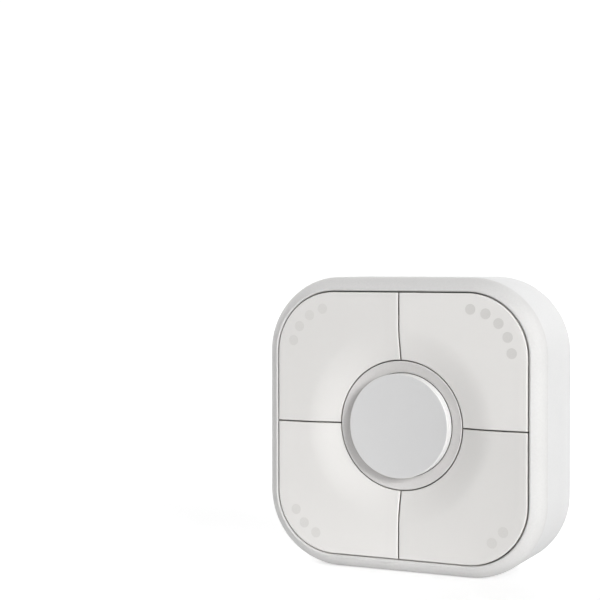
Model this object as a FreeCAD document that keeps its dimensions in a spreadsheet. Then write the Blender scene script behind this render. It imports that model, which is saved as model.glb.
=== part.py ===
import FreeCAD, Part
import math
import os
import re

import Sketcher
from FreeCAD import Rotation, Vector

# Wall scene controller: a square housing with four dished key caps around a raised round button.
# Row frame: X to the viewer's right, Y into the object, Z up. The origin is the middle of the bottom
# edge that it stands on. Places are given from the middle of the flat key surface: x to the right,
# z up, and depth along Y from that surface towards the wall.

# Driving dimensions in millimetres: name, value, what it measures
SIZES = [
    ("housing_side", 80.0, "width and height of the square housing"),
    ("housing_depth", 26.5, "key surface to the wall"),
    ("housing_corner", 20.75, "corner radius of the housing's outline"),
    ("housing_wall", 2.0, "side wall of the rear shell"),
    ("front_edge", 5.2, "radius of the frame's rounded front edge"),
    ("front_rise", 0.2, "crest of the front edge in front of the keys"),
    ("back_edge", 0.6, "bevel round the back of the shell"),
    ("window_margin", 3.72, "side of the housing to the key window"),
    ("window_edge", 0.2, "bevel of the window's edge"),
    ("frame_ledge", 1.8, "ledge inside the frame that the deck clamps"),
    ("ledge_thickness", 1.0, "thickness of that ledge"),
    ("frame_fit", 0.1, "gap between the frame's tongue and the shell"),
    ("key_gap", 0.36, "gap between keys, and from keys to frame"),
    ("key_plate", 1.8, "wall of a key cap"),
    ("key_skirt", 3.8, "depth of a key cap's skirt"),
    ("skirt_wall", 1.2, "thickness of the skirt"),
    ("key_edge", 0.25, "bevel of a key cap's edges"),
    ("key_travel", 0.5, "how far a key is pressed"),
    ("key_stop_gap", 0.2, "room left under a pressed key"),
    ("key_rib", 1.0, "thickness of the ribs in a key cap"),
    ("dish_width", 8.55, "width of the dish round the keys' inner edge"),
    ("dish_depth", 1.75, "depth of the dish at that edge"),
    ("post_side", 5.0, "side of a key's square post"),
    ("post_fit", 0.08, "gap between a post and its guide"),
    ("collar_wall", 1.2, "wall of the guide collar round a post"),
    ("collar_height", 1.3, "collar in front of the deck"),
    ("leg_inset", 5.28, "middle of a snap leg in from the window's side"),
    ("leg_offset", 11.0, "snap leg from the centre line beside it"),
    ("leg_width", 4.0, "width of a snap leg"),
    ("leg_thickness", 1.6, "thickness of a snap leg"),
    ("leg_fit", 0.15, "gap round a snap leg in its slot"),
    ("barb_reach", 0.6, "how far a snap leg's barb stands out"),
    ("barb_gap", 0.1, "gap between the deck and a barb"),
    ("barb_length", 1.4, "length of a barb"),
    ("deck_thickness", 1.5, "plate of the key deck"),
    ("deck_fit", 0.28, "gap between the deck and the frame"),
    ("ring_gap", 0.3, "gap between the keys and the ring"),
    ("ring_width", 3.21, "width of the ring"),
    ("ring_bore_depth", 3.2, "depth of the ring's face at its bore"),
    ("peg_side", 1.1, "side of the ring's square pegs"),
    ("peg_inset", 0.9, "middle of a peg in from the ring's outside"),
    ("peg_fit", 0.1, "gap round a peg"),
    ("button_radius", 14.1, "radius of the centre button"),
    ("button_fit", 0.14, "gap between the button and the ring"),
    ("button_proud", 0.2, "button's rim in front of the keys"),
    ("button_dip", 0.45, "hollow of the button's face"),
    ("button_floor", 5.0, "radius of the flat middle of that hollow"),
    ("button_edge", 0.45, "bevel of the button's rim"),
    ("button_wall", 1.2, "side wall of the button"),
    ("button_plate", 1.3, "wall of the button's face"),
    ("flange_reach", 0.9, "how far the button's retaining flange stands out"),
    ("flange_thickness", 1.0, "thickness of that flange"),
    ("flange_gap", 0.1, "gap between the flange and the ring"),
    ("button_travel", 0.6, "how far the button is pressed"),
    ("button_post", 4.0, "side of the button's square post"),
    ("button_clear", 0.3, "gap between the flange and the deck"),
    ("plunger_side", 3.0, "side of a square switch plunger"),
    ("plunger_fit", 0.08, "gap round a plunger in its switch"),
    ("plunger_gap", 0.2, "plunger's top behind the deck"),
    ("plunger_stand", 0.8, "plunger in front of its switch base"),
    ("plunger_grip", 0.7, "plunger inside its switch base"),
    ("switch_side", 6.2, "side of a switch base"),
    ("switch_room", 0.2, "room behind a pressed plunger"),
    ("switch_floor", 0.6, "floor of a switch base behind that room"),
    ("lead_width", 0.7, "width of a switch lead"),
    ("lead_reach", 1.1, "switch lead outside its base"),
    ("lead_thickness", 0.25, "thickness of a switch lead"),
    ("lead_pitch", 4.5, "distance between a switch's leads"),
    ("board_gap", 1.0, "board to the shell's wall"),
    ("board_thickness", 1.0, "thickness of the circuit board"),
    ("module_width", 14.0, "width of the radio module"),
    ("module_height", 18.0, "height of the radio module"),
    ("module_drop", 16.0, "middle of the module below the housing's top"),
    ("module_thickness", 0.8, "radio module's own board"),
    ("shield_margin", 0.8, "module's edge to its shield can"),
    ("shield_height", 1.8, "height of the shield can"),
    ("shield_wall", 0.2, "sheet of the shield can"),
    ("aerial_length", 4.5, "stretch of the module left open"),
    ("screw_radius", 1.1, "radius of a screw's shank"),
    ("screw_head", 2.0, "radius of a screw's head"),
    ("screw_head_height", 1.3, "height of a screw's head"),
    ("screw_length", 12.0, "length of a screw under its head"),
    ("screw_fit", 0.2, "gap round a screw in deck and board"),
    ("thread_fit", 0.02, "gap round a screw in its boss"),
    ("boss_radius", 3.2, "radius of a screw boss"),
    ("spacer_radius", 3.0, "radius of the deck's spacers"),
    ("spacer_gap", 1.27, "gap between a spacer and the corner of the frame's ledge"),
    ("head_gap", 0.72, "gap between a screw's head and a guide collar"),
    ("solder_room", 0.4, "room behind the board"),
    ("bay_floor", 0.9, "floor of the battery bay"),
    ("bay_wall", 1.2, "walls of the battery bay"),
    ("shell_rib", 1.2, "stiffening ribs inside the shell"),
    ("shell_rib_drop", 3.0, "ribs' top behind the screw bosses' top"),
    ("cell_radius", 5.25, "radius of a cell"),
    ("cell_length", 44.5, "length of a cell with its terminal"),
    ("cell_between", 0.7, "gap between the two cells"),
    ("cell_side_gap", 0.35, "gap beside a cell"),
    ("cell_floor_gap", 0.2, "gap between a cell and the bay's floor"),
    ("cell_back_gap", 0.3, "gap between a cell and the wall plate's rib"),
    ("terminal_radius", 1.9, "radius of a cell's terminal"),
    ("terminal_height", 1.0, "height of a cell's terminal"),
    ("contact_room", 2.35, "cell's end to the bay's end wall"),
    ("contact_sheet", 0.4, "sheet of the battery contacts"),
    ("contact_width", 7.0, "width of a battery contact"),
    ("contact_height", 9.6, "contact's height above the bay's floor"),
    ("contact_bend", 1.2, "height of a contact's bent top"),
    ("contact_tail", 1.9, "end of a contact's tongue above the bay's floor"),
    ("contact_flare", 0.8, "lean of that end away from the cell"),
    ("contact_touch", 0.05, "gap between a contact and its cell"),
    ("slot_fit", 0.2, "gap beside a contact in its slot"),
    ("back_wall", 1.6, "back wall of the shell"),
    ("plate_recess", 2.2, "depth of the recess for the wall plate"),
    ("plate_rim", 2.4, "rim of the shell round the wall plate"),
    ("plate_fit", 0.3, "gap round the wall plate"),
    ("plate_gap", 0.15, "gap in front of the wall plate"),
    ("rib_width", 2.0, "width of the wall plate's rib behind a cell"),
    ("rib_length", 22.0, "length of that rib"),
    ("wall_hole_inset", 10.0, "wall screw in from the housing's side"),
    ("wall_hole_radius", 2.25, "radius of a wall screw's hole"),
    ("wall_head_radius", 4.3, "radius of the recess for its head"),
    ("wall_hole_land", 1.0, "plate left under the head"),
    ("wall_head_room", 0.9, "depth of the recess for the head in the shell"),
    ("magnet_length", 12.0, "length of a bar magnet, across the shell"),
    ("magnet_width", 6.0, "width of a bar magnet"),
    ("magnet_height", 1.5, "height of a bar magnet"),
    ("magnet_across", 12.0, "magnets from the upright centre line"),
    ("magnet_inset", 16.0, "magnets in from the housing's top and bottom"),
    ("magnet_fit", 0.1, "gap round a magnet"),
    ("magnet_seat", 1.0, "wall round and under a magnet"),
    ("keeper_height", 0.8, "height of a steel keeper"),
]

# Sizes that follow from others
HALF = "(housing_side / 2)"
KEY_SURFACE_Y = "((button_proud - housing_depth) / 2)"
SEAM = "(front_edge - front_rise)"
WINDOW = f"({HALF} - window_margin)"
WINDOW_CORNER = "(housing_corner - window_margin)"
KEY_HALF = f"({WINDOW} - key_gap)"
KEY_CORNER = f"({WINDOW_CORNER} - key_gap)"
HALF_GAP = "(key_gap / 2)"
RING_BORE = "(button_radius + button_fit)"
RING_OUTSIDE = f"({RING_BORE} + ring_width)"
PEG_PLACE = f"(({RING_OUTSIDE} - peg_inset) / sqrt(2))"
FLANGE_RADIUS = "(button_radius + flange_reach)"
DISH_HOLE = f"({RING_OUTSIDE} + ring_gap)"
DISH_RADIUS = f"({DISH_HOLE} + dish_width)"
LEG_REACH = f"({WINDOW} - leg_inset)"
CORNER_START = f"({HALF} - housing_corner)"
SPACER_REACH = "(housing_corner - window_margin - frame_ledge - spacer_gap - spacer_radius)"
SCREW_PLACE = f"({CORNER_START} + {SPACER_REACH} / sqrt(2))"
POST_PLACE = f"({SCREW_PLACE} - screw_head - head_gap - collar_wall - post_fit - post_side / 2)"
DECK_FRONT = "(key_skirt + key_travel + key_stop_gap)"
DECK_BACK = f"({DECK_FRONT} + deck_thickness)"
FRAME_BACK = f"({DECK_BACK} + ledge_thickness)"
PLUNGER_TOP = f"({DECK_BACK} + plunger_gap)"
SWITCH_TOP = f"({PLUNGER_TOP} + plunger_stand)"
SWITCH_BORE = "(plunger_grip + max(key_travel; button_travel) + switch_room)"
BOARD_FRONT = f"({SWITCH_TOP} + {SWITCH_BORE} + switch_floor)"
BOARD_BACK = f"({BOARD_FRONT} + board_thickness)"
BAY_FRONT = f"({BOARD_BACK} + solder_room)"
BAY_BACK = f"({BAY_FRONT} + bay_floor)"
CELL_DEPTH = f"({BAY_BACK} + cell_floor_gap + cell_radius)"
CELL_PITCH = "(2 * cell_radius + cell_between)"
CELL_PLACE = f"({CELL_PITCH} / 2)"
BACK_WALL_BACK = "(housing_depth - plate_recess)"
BACK_WALL_FRONT = f"({BACK_WALL_BACK} - back_wall)"
PLATE_FRONT = f"({BACK_WALL_BACK} + plate_gap)"
BAY_HALF_LENGTH = "(cell_length / 2 + contact_room)"
BAY_HALF_HEIGHT = f"({CELL_PLACE} + cell_radius + cell_side_gap)"
MODULE_PLACE = f"({HALF} - module_drop)"
MAGNET_PLACE = f"({HALF} - magnet_inset)"
WALL_HOLE_PLACE = f"({HALF} - wall_hole_inset)"

# Points closer than this meet
MEETS = 1e-4

QUARTERS = [("upper_left", -1, 1), ("upper_right", 1, 1), ("lower_left", -1, -1), ("lower_right", 1, -1)]

doc = FreeCAD.newDocument("SceneController")
sheet = doc.addObject("Spreadsheet::Sheet", "Sizes")
for row, (alias, value, meaning) in enumerate(SIZES, start=1):
    sheet.set(f"A{row}", alias)
    sheet.set(f"B{row}", str(value))
    sheet.set(f"C{row}", meaning)
    sheet.setAlias(f"B{row}", alias)
doc.recompute()

SIZE_NAMES = re.compile(r"\b(" + "|".join(name for name, _, _ in SIZES) + r")\b")


def formula(text):
    """The expression with each size's name pointing at its cell in the sheet."""
    return SIZE_NAMES.sub(r"Sizes.\1", str(text))


def number(text):
    """The present value of an expression."""
    result = sheet.evalExpression(formula(text))
    return float(getattr(result, "Value", result))


def bind(thing, path, text):
    thing.setExpression(path, formula(text))


# Outlines in sketches. Every corner is held by expressions, measured from the sketch's origin.

def hold_point(sketch, geometry, point, x, y):
    for kind, text in (("DistanceX", x), ("DistanceY", y)):
        index = sketch.addConstraint(Sketcher.Constraint(kind, -1, 1, geometry, point, number(text)))
        bind(sketch, f"Constraints[{index}]", text)


def hold_radius(sketch, geometry, radius):
    index = sketch.addConstraint(Sketcher.Constraint("Radius", geometry, number(radius)))
    bind(sketch, f"Constraints[{index}]", radius)


def arc_between(start, end, radius, turn):
    """Short arc from start to end, turning left (turn 1) or right (turn -1)."""
    chord = end - start
    rise = math.sqrt(max(radius ** 2 - chord.Length ** 2 / 4, 0))
    left = Vector(-chord.y, chord.x, 0).normalize()
    centre = (start + end) / 2 + left * (rise * turn)
    first, last = (start, end) if turn > 0 else (end, start)
    angles = [math.atan2(p.y - centre.y, p.x - centre.x) for p in (first, last)]
    return Part.ArcOfCircle(Part.Circle(centre, Vector(0, 0, 1), radius), angles[0], angles[1])


def outline(sketch, corners):
    """Closed outline of (x, y) corners. A corner (x, y, radius, turn) is left by an arc."""
    points = [Vector(number(corner[0]), number(corner[1]), 0) for corner in corners]
    ends = []
    for i, corner in enumerate(corners):
        start = points[i]
        end = points[(i + 1) % len(points)]
        if len(corner) == 2:
            ends.append((sketch.addGeometry(Part.LineSegment(start, end), False), 1, 2))
            continue
        _, _, radius, turn = corner
        arc = sketch.addGeometry(arc_between(start, end, number(radius), turn), False)
        ends.append((arc, 1, 2) if turn > 0 else (arc, 2, 1))
    for i, (edge, _, last) in enumerate(ends):
        following, first, _ = ends[(i + 1) % len(ends)]
        sketch.addConstraint(Sketcher.Constraint("Coincident", edge, last, following, first))
    for (edge, first, _), corner in zip(ends, corners):
        hold_point(sketch, edge, first, corner[0], corner[1])
        if len(corner) == 4:
            hold_radius(sketch, edge, corner[2])


def circle(sketch, x, y, radius):
    centre = Vector(number(x), number(y), 0)
    ring = sketch.addGeometry(Part.Circle(centre, Vector(0, 0, 1), number(radius)), False)
    hold_point(sketch, ring, 3, x, y)
    hold_radius(sketch, ring, radius)


def rectangle(sketch, x0, y0, x1, y1):
    outline(sketch, [(x0, y0), (x1, y0), (x1, y1), (x0, y1)])


def block(sketch, x, y, width, height):
    """Rectangle about the point (x, y)."""
    rectangle(sketch, f"{x} - {width} / 2", f"{y} - {height} / 2",
              f"{x} + {width} / 2", f"{y} + {height} / 2")


def rounded_square(sketch, half, radius):
    flat = f"({half} - {radius})"
    outline(sketch, [
        (half, f"-{flat}"), (half, flat, radius, 1),
        (flat, half), (f"-{flat}", half, radius, 1),
        (f"-{half}", flat), (f"-{half}", f"-{flat}", radius, 1),
        (f"-{flat}", f"-{half}"), (flat, f"-{half}", radius, 1),
    ])


def housing_outline(sketch, inset):
    """The housing's outline, drawn in by an inset that keeps the corners concentric."""
    rounded_square(sketch, f"({HALF} - ({inset}))", f"(housing_corner - ({inset}))")


# Features. A body's own origin is the middle of the flat key surface.

def piece(label):
    body = doc.addObject("PartDesign::Body", label)
    body.Label = label
    bind(body, "Placement.Base.y", KEY_SURFACE_Y)
    bind(body, "Placement.Base.z", HALF)
    return body


def sketch_on(body, role, offset=None):
    """Sketch on an origin plane, moved by offsets along the sketch's own axes."""
    sketch = body.newObject("Sketcher::SketchObject", f"{body.Name}_sketch")
    plane = [feature for feature in body.Origin.OriginFeatures if feature.Role == role][0]
    sketch.AttachmentSupport = (plane, "")
    sketch.MapMode = "FlatFace"
    for axis, text in (offset or {}).items():
        bind(sketch, f"AttachmentOffset.Base.{axis}", text)
    return sketch


def face_sketch(body, depth, draw):
    """Sketch seen from the front: sketch x is x and sketch y is z, at one depth."""
    sketch = sketch_on(body, "XZ_Plane", {"z": f"-({depth})"})
    draw(sketch)
    return sketch


def pad(body, start, end, draw):
    feature = body.newObject("PartDesign::Pad", f"{body.Name}_pad")
    feature.Profile = face_sketch(body, start, draw)
    feature.Reversed = True
    bind(feature, "Length", f"({end}) - ({start})")
    return feature


def pocket(body, start, end, draw):
    feature = body.newObject("PartDesign::Pocket", f"{body.Name}_pocket")
    feature.Profile = face_sketch(body, start, draw)
    bind(feature, "Length", f"({end}) - ({start})")
    return feature


def turned(body, kind, corners):
    """Revolution or Groove about the line through the middle of the face, of (radius, depth) corners."""
    sketch = sketch_on(body, "XY_Plane")
    outline(sketch, corners)
    feature = body.newObject(f"PartDesign::{kind}", f"{body.Name}_{kind.lower()}")
    feature.Profile = sketch
    feature.ReferenceAxis = (sketch, ["V_Axis"])
    feature.Angle = 360
    return feature


def dress_edges(body, kind, path, size, wanted):
    """Fillet or Chamfer on the edges of the body's present solid that the test accepts."""
    doc.recompute()
    base = body.Tip
    names = [f"Edge{i}" for i, edge in enumerate(base.Shape.Edges, start=1) if wanted(edge)]
    if not names:
        raise RuntimeError(f"no edge to dress on {body.Label}")
    feature = body.newObject(f"PartDesign::{kind}", f"{body.Name}_{kind.lower()}")
    feature.Base = (base, names)
    bind(feature, path, size)
    return feature


def rounded_edges(body, radius, wanted):
    return dress_edges(body, "Fillet", "Radius", radius, wanted)


def bevelled_edges(body, size, wanted):
    return dress_edges(body, "Chamfer", "Size", size, wanted)


def edge_points(edge):
    return [edge.valueAt(edge.FirstParameter + (edge.LastParameter - edge.FirstParameter) * share)
            for share in (0.0, 0.5, 1.0)]


def at_depth(edge, depth):
    return all(abs(point.y - depth) < MEETS for point in edge_points(edge))


def outside_square(point, half, radius):
    """How far a point lies outside a rounded square about the middle, seen from the front."""
    x = abs(point.x) - half + radius
    z = abs(point.z) - half + radius
    if min(x, z) > 0:
        return math.hypot(x, z) - radius
    return max(x, z) - radius


def solid_cylinder(name, radius, length, x, depth, z):
    """Cylinder from one depth towards the wall."""
    feature = doc.addObject("Part::Cylinder", name)
    bind(feature, "Radius", radius)
    bind(feature, "Height", length)
    feature.Placement.Rotation = Rotation(Vector(1, 0, 0), -90)
    bind(feature, "Placement.Base.x", x)
    bind(feature, "Placement.Base.y", f"{KEY_SURFACE_Y} + ({depth})")
    bind(feature, "Placement.Base.z", f"{HALF} + ({z})")
    return feature


def group(label, members):
    """Identical loose pieces that share one node."""
    compound = doc.addObject("Part::Compound", label)
    compound.Label = label
    compound.Links = members
    return compound


# Housing

def make_front_bezel():
    body = piece("front_bezel")
    pad(body, "-front_rise", FRAME_BACK, lambda s: housing_outline(s, 0))
    front = -number("front_rise")
    rounded_edges(body, "front_edge", lambda edge: at_depth(edge, front))

    def outside_of_tongue(sketch):
        housing_outline(sketch, "-housing_wall")
        housing_outline(sketch, "housing_wall + frame_fit")

    pocket(body, SEAM, FRAME_BACK, outside_of_tongue)
    pocket(body, "-front_edge", DECK_BACK, lambda s: housing_outline(s, "window_margin"))
    pocket(body, DECK_BACK, FRAME_BACK, lambda s: housing_outline(s, "window_margin + frame_ledge"))
    window = number(WINDOW)
    corner = number(WINDOW_CORNER)
    back = number("key_plate")

    def on_window_edge(edge):
        return all(abs(outside_square(point, window, corner)) < MEETS and point.y < back
                   for point in edge_points(edge))

    bevelled_edges(body, "window_edge", on_window_edge)
    return body


def make_rear_shell():
    body = piece("rear_shell")
    pad(body, SEAM, "housing_depth", lambda s: housing_outline(s, 0))
    back = number("housing_depth")
    bevelled_edges(body, "back_edge", lambda edge: at_depth(edge, back))
    pocket(body, SEAM, BACK_WALL_FRONT, lambda s: housing_outline(s, "housing_wall"))
    pocket(body, BACK_WALL_BACK, "housing_depth", lambda s: housing_outline(s, "plate_rim"))

    def around_bay(sketch):
        rectangle(sketch, f"-({BAY_HALF_LENGTH} + bay_wall)", f"-({BAY_HALF_HEIGHT} + bay_wall)",
                  f"{BAY_HALF_LENGTH} + bay_wall", f"{BAY_HALF_HEIGHT} + bay_wall")

    def inside_bay(sketch):
        rectangle(sketch, f"-{BAY_HALF_LENGTH}", f"-{BAY_HALF_HEIGHT}", BAY_HALF_LENGTH, BAY_HALF_HEIGHT)

    pad(body, BAY_FRONT, f"{BACK_WALL_FRONT} + back_wall / 2", around_bay)
    pad(body, f"{BOARD_BACK} + shell_rib_drop", f"{BACK_WALL_FRONT} + back_wall / 2", shell_ribs)
    pad_bosses(body)
    pocket(body, BAY_BACK, BACK_WALL_BACK, inside_bay)

    def contact_slots(sketch):
        for side in (-1, 1):
            block(sketch, f"({BAY_HALF_LENGTH} - contact_sheet / 2)", f"({side} * {CELL_PLACE})",
                  "contact_sheet", "(contact_width + 2 * slot_fit)")

    pocket(body, BAY_FRONT, BAY_BACK, contact_slots)
    pocket(body, BOARD_BACK, f"{DECK_FRONT} + screw_length + screw_head_height",
           lambda s: at_screws(s, "screw_radius + thread_fit"))
    for floor, draw in (("magnet_height", lambda s: at_magnets(s, "magnet_fit")),
                        ("wall_head_room", lambda s: wall_holes(s, "wall_head_radius"))):
        pocket(body, f"{BACK_WALL_BACK} - {floor}", BACK_WALL_BACK, draw)
    return body


def shell_ribs(sketch):
    """Two ribs from each screw boss to the shell's side walls."""
    near = f"({SCREW_PLACE} - shell_rib / 2)"
    far = f"({SCREW_PLACE} + shell_rib / 2)"
    wall_middle = "(housing_corner - housing_wall / 2)"
    wall = f"({CORNER_START} + sqrt({wall_middle} ^ 2 - ({far} - {CORNER_START}) ^ 2))"
    start = f"({SCREW_PLACE} + boss_radius / 2)"
    for _, x, z in QUARTERS:
        rectangle(sketch, f"{x} * {start}", f"{z} * {near}", f"{x} * {wall}", f"{z} * {far}")
        rectangle(sketch, f"{x} * {near}", f"{z} * {start}", f"{x} * {far}", f"{z} * {wall}")


def at_screws(sketch, radius):
    for _, side_x, side_z in QUARTERS:
        circle(sketch, f"{side_x} * {SCREW_PLACE}", f"{side_z} * {SCREW_PLACE}", radius)


def at_quarters(sketch, x, z, width, height):
    """A rectangle in each quarter of the face."""
    for _, side_x, side_z in QUARTERS:
        block(sketch, f"({side_x} * {x})", f"({side_z} * {z})", width, height)


def at_magnets(sketch, margin):
    at_quarters(sketch, "magnet_across", MAGNET_PLACE, f"(magnet_length + 2 * ({margin}))",
                f"(magnet_width + 2 * ({margin}))")


def wall_holes(sketch, radius):
    for side in (-1, 1):
        circle(sketch, f"{side} * {WALL_HOLE_PLACE}", "0", radius)


def pad_bosses(body):
    seat = f"{BACK_WALL_FRONT} + back_wall / 2"
    pad(body, BOARD_BACK, seat, lambda s: at_screws(s, "boss_radius"))
    pad(body, f"{BACK_WALL_BACK} - magnet_height - magnet_seat", seat,
        lambda s: at_magnets(s, "magnet_fit + magnet_seat"))


def make_wall_plate():
    body = piece("wall_plate")
    pad(body, PLATE_FRONT, "housing_depth", lambda s: housing_outline(s, "plate_rim + plate_fit"))

    def cell_ribs(sketch):
        for side in (-1, 1):
            block(sketch, "0", f"({side} * {CELL_PLACE})", "rib_length", "rib_width")

    pad(body, f"{CELL_DEPTH} + cell_radius + cell_back_gap", f"{PLATE_FRONT} + plate_gap", cell_ribs)
    pocket(body, PLATE_FRONT, "housing_depth", lambda s: wall_holes(s, "wall_hole_radius"))
    pocket(body, PLATE_FRONT, "housing_depth - wall_hole_land", lambda s: wall_holes(s, "wall_head_radius"))
    pocket(body, PLATE_FRONT, f"{PLATE_FRONT} + keeper_height", lambda s: at_magnets(s, "magnet_fit"))
    return body


# Keys

def key_outline(sketch, side_x, side_z, gap_side, far_side, far_corner, hole):
    """Quarter of the window, cut by a circle about the middle of the face."""
    flat = f"({far_side} - {far_corner})"
    along = f"(sqrt({hole} ^ 2 - {gap_side} ^ 2))"
    turn = side_x * side_z
    corners = [
        (gap_side, along), (gap_side, far_side), (flat, far_side, far_corner, -turn),
        (far_side, flat), (far_side, gap_side), (along, gap_side, hole, turn),
    ]
    outline(sketch, [(f"{side_x} * {c[0]}", f"{side_z} * {c[1]}") + c[2:] for c in corners])


def dish_depth_at(radius):
    return f"(dish_depth * ({DISH_RADIUS} - ({radius})) / dish_width)"


def cut_dish(body):
    """Cone round the button, from the flat key surface down to the keys' inner edge."""
    inner = f"({DISH_HOLE} - key_plate)"
    turned(body, "Groove", [(inner, dish_depth_at(inner)), (DISH_RADIUS, "0"), (inner, "0")])


def make_key(name, side_x, side_z):
    body = piece(f"key_{name}")

    def whole(sketch):
        key_outline(sketch, side_x, side_z, HALF_GAP, KEY_HALF, KEY_CORNER, DISH_HOLE)

    def hollow(sketch):
        key_outline(sketch, side_x, side_z, f"({HALF_GAP} + skirt_wall)", f"({KEY_HALF} - skirt_wall)",
                    f"({KEY_CORNER} - skirt_wall)", f"({DISH_RADIUS} - skirt_wall)")

    inside = "key_plate / 2"
    lip = f"({DISH_HOLE} + skirt_wall)"
    pad(body, 0, "key_skirt", whole)
    pocket(body, "key_plate", "key_skirt", hollow)
    turned(body, "Groove", [
        (lip, f"{dish_depth_at(lip)} + key_plate"),
        (DISH_RADIUS, "key_plate"),
        (DISH_RADIUS, "key_skirt + key_plate"),
        (lip, "key_skirt + key_plate"),
    ])

    def bar(sketch, x0, z0, x1, z1):
        rectangle(sketch, f"{side_x} * {x0}", f"{side_z} * {z0}", f"{side_x} * {x1}", f"{side_z} * {z1}")

    start = f"({DISH_HOLE} + skirt_wall / 2)"
    reach = f"({KEY_HALF} - skirt_wall / 2)"
    pad(body, inside, "key_skirt", lambda s: bar(s, HALF_GAP, start, f"({HALF_GAP} + skirt_wall)", reach))
    pad(body, inside, "key_skirt", lambda s: bar(s, start, HALF_GAP, reach, f"({HALF_GAP} + skirt_wall)"))
    rib_end = f"{DECK_FRONT} - collar_height - key_travel - key_stop_gap"
    low = f"({POST_PLACE} - key_rib / 2)"
    high = f"({POST_PLACE} + key_rib / 2)"
    near = f"({HALF_GAP} + skirt_wall / 2)"
    pad(body, inside, rib_end, lambda s: bar(s, near, low, f"({KEY_HALF} - skirt_wall / 2)", high))
    pad(body, inside, rib_end, lambda s: bar(s, low, near, high, f"({KEY_HALF} - skirt_wall / 2)"))
    post_x = f"({side_x} * {POST_PLACE})"
    post_z = f"({side_z} * {POST_PLACE})"
    pad(body, inside, PLUNGER_TOP, lambda s: block(s, post_x, post_z, "post_side", "post_side"))
    snap_leg(body, "XY_Plane", side_x, side_z)
    snap_leg(body, "YZ_Plane", side_z, side_x)
    cut_dish(body)
    bevel_key(body)
    return body


def snap_leg(body, role, side, other_side):
    """Leg with a barb behind the deck, drawn in section and as wide as leg_width."""
    near = f"({LEG_REACH} - leg_thickness / 2)"
    far = f"({LEG_REACH} + leg_thickness / 2)"
    catch = f"({DECK_BACK} + barb_gap)"
    section = [
        (near, "key_plate / 2"), (near, f"{catch} + barb_length"), (far, f"{catch} + barb_length"),
        (f"({far} + barb_reach)", catch), (far, catch), (far, "key_plate / 2"),
    ]
    sketch = sketch_on(body, role, {"z": f"{other_side} * leg_offset"})
    if role == "XY_Plane":
        outline(sketch, [(f"{side} * {reach}", depth) for reach, depth in section])
    else:
        outline(sketch, [(depth, f"{side} * {reach}") for reach, depth in section])
    feature = body.newObject("PartDesign::Pad", f"{body.Name}_leg")
    feature.Profile = sketch
    feature.Midplane = True
    bind(feature, "Length", "leg_width")


def bevel_key(body):
    """Bevel the edges where the cap's surface meets its side walls."""
    gap_side = number(HALF_GAP)
    far_side = number(KEY_HALF)
    corner = number(KEY_CORNER)
    hole = number(DISH_HOLE)

    def on_side(point):
        x = abs(point.x)
        z = abs(point.z)
        gaps = (x - gap_side, z - gap_side, outside_square(point, far_side, corner), math.hypot(x, z) - hole)
        return min(abs(gap) for gap in gaps) < MEETS

    def on_surface(point):
        surface = max(0.0, number(dish_depth_at(math.hypot(point.x, point.z))))
        return abs(point.y - surface) < MEETS

    bevelled_edges(body, "key_edge",
                   lambda edge: all(on_side(point) and on_surface(point) for point in edge_points(edge)))


def make_key_deck():
    body = piece("key_deck")
    guide = "(post_side + 2 * post_fit)"
    collar = f"({guide} + 2 * collar_wall)"
    peg_hole = "(peg_side + 2 * peg_fit)"
    pad(body, DECK_FRONT, DECK_BACK, lambda s: housing_outline(s, "window_margin + deck_fit"))
    pad(body, f"{DECK_FRONT} - collar_height", f"{DECK_FRONT} + deck_thickness / 2",
        lambda s: at_quarters(s, POST_PLACE, POST_PLACE, collar, collar))
    pad(body, f"{DECK_FRONT} + deck_thickness / 2", BOARD_FRONT, lambda s: at_screws(s, "spacer_radius"))
    pocket(body, DECK_FRONT, DECK_BACK, lambda s: circle(s, "0", "0", f"{FLANGE_RADIUS} + button_clear"))
    pocket(body, f"{DECK_FRONT} - collar_height", DECK_BACK,
           lambda s: at_quarters(s, POST_PLACE, POST_PLACE, guide, guide))
    pocket(body, DECK_FRONT, BOARD_FRONT, lambda s: at_screws(s, "screw_radius + screw_fit"))
    pocket(body, DECK_FRONT, DECK_BACK, lambda s: at_quarters(s, PEG_PLACE, PEG_PLACE, peg_hole, peg_hole))

    def slots(sketch):
        thick = "(leg_thickness + 2 * leg_fit)"
        wide = "(leg_width + 2 * leg_fit)"
        at_quarters(sketch, LEG_REACH, "leg_offset", thick, wide)
        at_quarters(sketch, "leg_offset", LEG_REACH, wide, thick)

    pocket(body, DECK_FRONT, DECK_BACK, slots)
    return body


# Ring and centre button

def make_centre_ring():
    body = piece("centre_ring")
    turned(body, "Revolution", [
        (RING_BORE, "ring_bore_depth"),
        (RING_OUTSIDE, "dish_depth"),
        (RING_OUTSIDE, DECK_FRONT),
        (RING_BORE, DECK_FRONT),
    ])
    pad(body, f"{DECK_FRONT} - deck_thickness / 2", DECK_BACK,
        lambda s: at_quarters(s, PEG_PLACE, PEG_PLACE, "peg_side", "peg_side"))
    return body


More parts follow.
